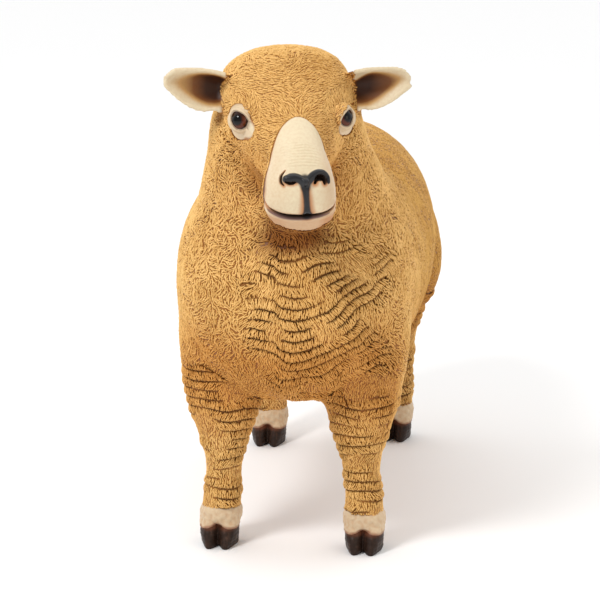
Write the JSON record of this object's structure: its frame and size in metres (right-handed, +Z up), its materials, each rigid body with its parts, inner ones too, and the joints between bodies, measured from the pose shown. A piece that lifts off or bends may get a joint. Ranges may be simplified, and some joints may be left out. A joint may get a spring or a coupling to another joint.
{
  "type": "sheep statue",
  "caption": "Life-size painted figure of a standing, freshly shorn sheep, head turned slightly to its left, on cloven hooves.",
  "frame": {"origin": "centre of the footprint's bounding box, on the floor", "axes": "+Z up; the figure faces -Y, and its own left side is towards +X"},
  "size_m": [0.421, 1.0632, 0.8533],
  "materials": {
    "fleece": "satin hand-painted tan wool relief with a brown wash in its grooves",
    "bare_skin": "satin cream paint, airbrushed brown inside the ears",
    "horn": "dark brown hoof paint, semi-gloss",
    "eye": "glossy dark brown eye"
  },
  "bodies": {
    "root": {"trunk": "fleece", "neck": "fleece", "head": "fleece", "tail": "fleece", "leg_front_left": "fleece", "leg_front_right": "fleece", "leg_hind_left": "fleece", "leg_hind_right": "fleece", "hoof_front_left": "horn", "hoof_front_right": "horn", "hoof_hind_left": "horn", "hoof_hind_right": "horn", "ear_left": "bare_skin", "ear_right": "bare_skin", "eye_left": "eye", "eye_right": "eye"}
  },
  "joints": []
}
